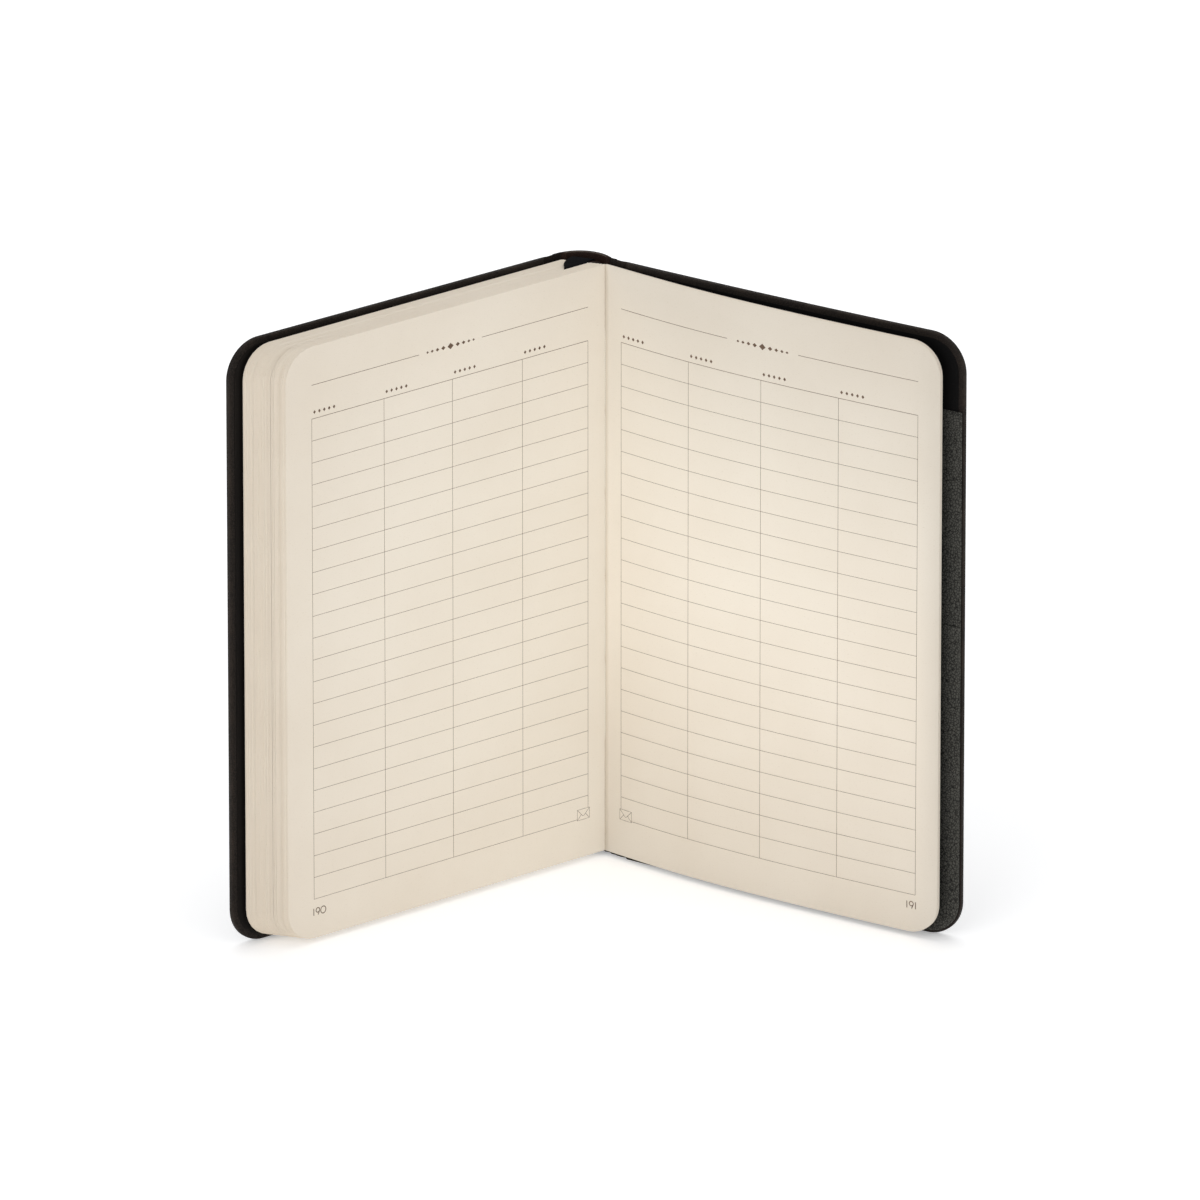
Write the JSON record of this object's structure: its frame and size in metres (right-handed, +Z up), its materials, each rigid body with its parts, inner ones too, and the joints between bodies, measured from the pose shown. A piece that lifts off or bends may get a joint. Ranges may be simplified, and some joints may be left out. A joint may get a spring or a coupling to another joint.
{
  "type": "lined notebook",
  "caption": "Hard-cover ruled notebook standing open in a V near its last pages, with a sewn block, ribbon marker, rounded spine and an inner back pocket.",
  "frame": {"origin": "on the standing surface, under the middle of the open book's outline", "axes": "+X to the reader's right along the open spread, +Y away from the reader towards the spine, +Z up along the pages"},
  "size_m": [0.2064, 0.0808, 0.18],
  "materials": {
    "paper": "matte, uncoated ivory",
    "leather": "black, fine grain, low sheen",
    "board": "grey bookbinding board",
    "black_paper": "black, smooth, matte",
    "pocket_cloth": "dark grey fine woven cloth on card",
    "satin": "black satin ribbon",
    "cotton": "off-white cotton"
  },
  "bodies": {
    "block": {"section_13_front_half": "paper", "section_12": "paper", "section_11": "paper", "section_10": "paper", "section_09": "paper", "section_08": "paper", "section_07": "paper", "section_06": "paper", "section_05": "paper", "section_04": "paper", "section_03": "paper", "section_02": "paper", "section_01": "paper", "front_flyleaf": "black_paper", "spine_lining": "cotton", "headband_top": "cotton", "headband_bottom": "cotton", "sewing_thread": "cotton", "ribbon_marker": "satin", "spine_leather": "leather", "spine_board": "board", "front_joint_fold": "leather", "back_joint_fold": "leather"},
    "front_cover": {"front_cover_leather": "leather", "front_cover_board": "board", "front_pastedown": "black_paper"},
    "leaf_191": {"leaf_191": "paper"},
    "back_cover": {"back_cover_leather": "leather", "back_cover_board": "board", "back_pastedown": "black_paper", "pocket_panel": "pocket_cloth", "card_pocket_panel": "pocket_cloth", "pocket_gusset_spine_side": "black_paper", "pocket_gusset_fore_edge": "black_paper", "leaf_193": "paper", "leaf_195": "paper", "leaf_197": "paper", "rear_flyleaf": "black_paper"}
  },
  "joints": [
    {"name": "front_cover", "type": "hinge", "parent": "block", "child": "front_cover", "pos_m": [-0.01098, 0.03803, 0.09], "axis": [0, 0, -1], "range_deg": [0, 150]},
    {"name": "spread", "type": "hinge", "parent": "block", "child": "leaf_191", "pos_m": [0.00262, 0.03141, 0.09], "axis": [0, 0, -1], "range_deg": [0, 103]},
    {"name": "back_cover", "type": "hinge", "parent": "leaf_191", "child": "back_cover", "pos_m": [0.00426, 0.03386, 0.09], "axis": [0, 0, 1], "range_deg": [0, 98]}
  ]
}
